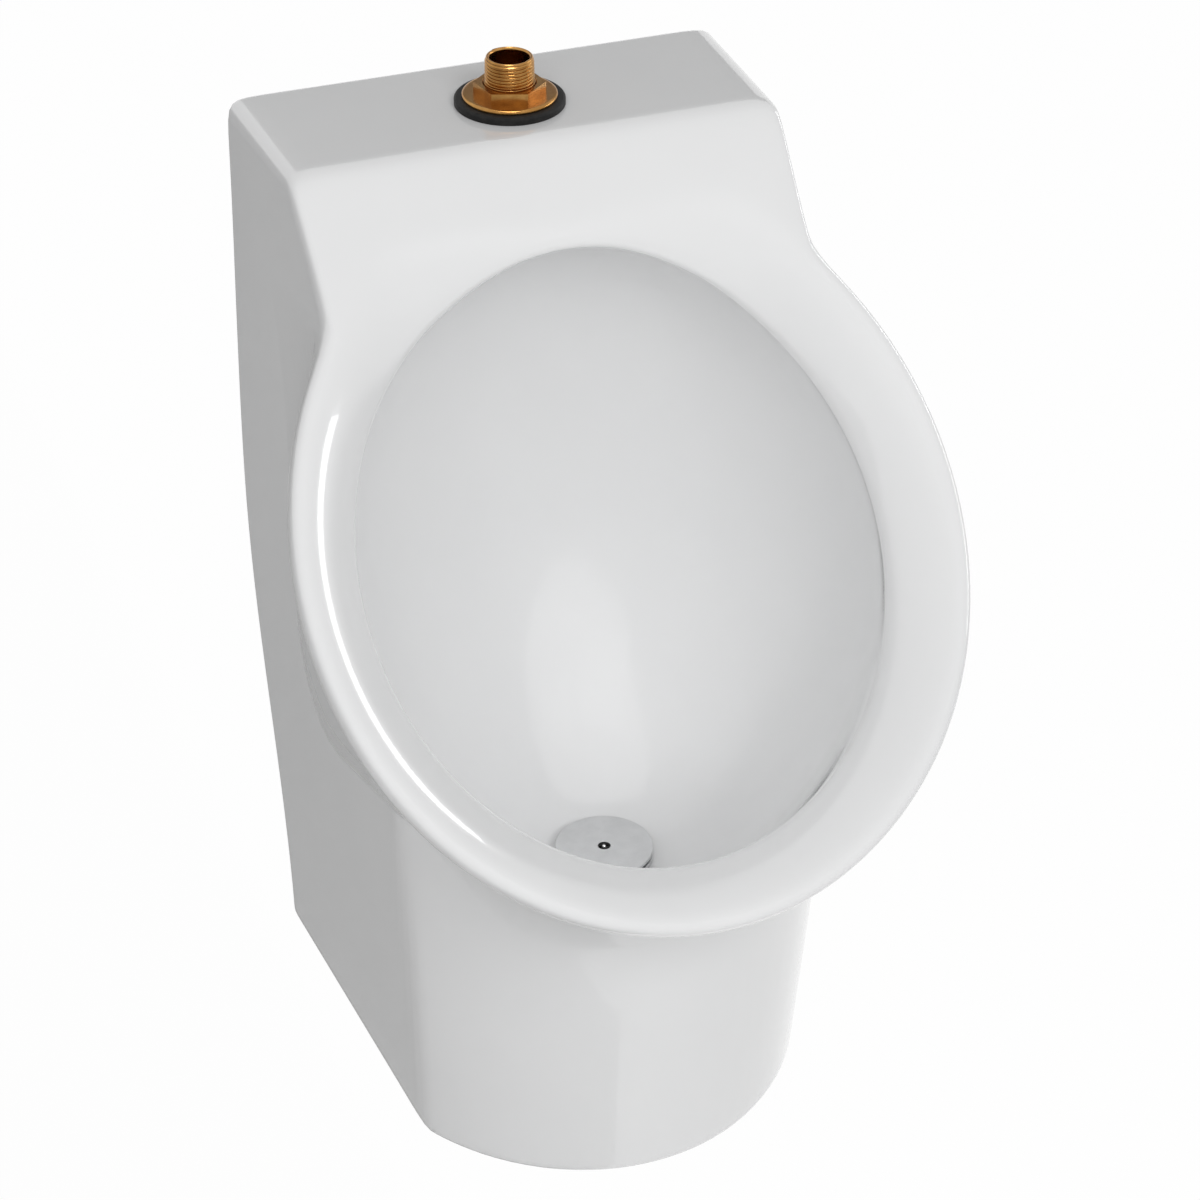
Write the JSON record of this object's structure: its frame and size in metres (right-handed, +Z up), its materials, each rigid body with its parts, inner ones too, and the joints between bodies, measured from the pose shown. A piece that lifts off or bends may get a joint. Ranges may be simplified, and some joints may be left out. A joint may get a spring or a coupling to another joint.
{
  "type": "wall-hung urinal",
  "caption": "Wall-hung white china urinal with a sloping oval rim, a threaded brass inlet on top, a steel strainer, a built-in trap and wall hangers.",
  "frame": {"origin": "centre of the waste outlet on the wall plane", "axes": "+X to the right seen from the front, +Y into the wall along the outlet, +Z up"},
  "size_m": [0.3506, 0.3754, 0.566],
  "materials": {
    "china": "gloss white glaze",
    "inlet_brass": "machined, golden brown",
    "outlet_brass": "machined",
    "rubber": "matt black",
    "strainer_steel": "satin",
    "screw_steel": "bright",
    "hanger_steel": "zinc plated"
  },
  "bodies": {
    "wall_hangers": {"hanger_left": "hanger_steel", "hanger_right": "hanger_steel"},
    "fixture": {"china_body": "china", "spud_tube": "inlet_brass", "spud_washer": "inlet_brass", "spud_gasket": "rubber", "strainer_bridge": "outlet_brass", "outlet_gasket": "rubber", "outlet_flange": "outlet_brass", "outlet_bolt_left": "outlet_brass", "outlet_bolt_right": "outlet_brass", "outlet_washer_left": "outlet_brass", "outlet_washer_right": "outlet_brass"},
    "strainer": {"strainer_plate": "strainer_steel", "strainer_base": "strainer_steel", "strainer_seal": "rubber"},
    "strainer_screw": {"strainer_screw": "screw_steel"},
    "spud_locknut": {"spud_locknut": "inlet_brass"},
    "outlet_nut_left": {"outlet_nut_left": "outlet_brass"},
    "outlet_nut_right": {"outlet_nut_right": "outlet_brass"}
  },
  "joints": [
    {"name": "fixture_lift", "type": "slide", "parent": "wall_hangers", "child": "fixture", "axis": [0, 0, 1], "range_m": [0, 0.016]},
    {"name": "strainer_lift", "type": "slide", "parent": "fixture", "child": "strainer", "axis": [0, 0, 1], "range_m": [0, 0.08]},
    {"name": "strainer_screw_turn", "type": "hinge", "parent": "strainer", "child": "strainer_screw", "pos_m": [0, -0.1976, 0], "axis": [0, 0, 1], "continuous": true},
    {"name": "spud_locknut_turn", "type": "hinge", "parent": "fixture", "child": "spud_locknut", "pos_m": [0, -0.0556, 0.399], "axis": [0, 0, 1], "continuous": true},
    {"name": "outlet_nut_left_turn", "type": "hinge", "parent": "fixture", "child": "outlet_nut_left", "pos_m": [-0.054, -0.045, 0], "axis": [0, 1, 0], "continuous": true},
    {"name": "outlet_nut_right_turn", "type": "hinge", "parent": "fixture", "child": "outlet_nut_right", "pos_m": [0.054, -0.045, 0], "axis": [0, 1, 0], "continuous": true}
  ]
}
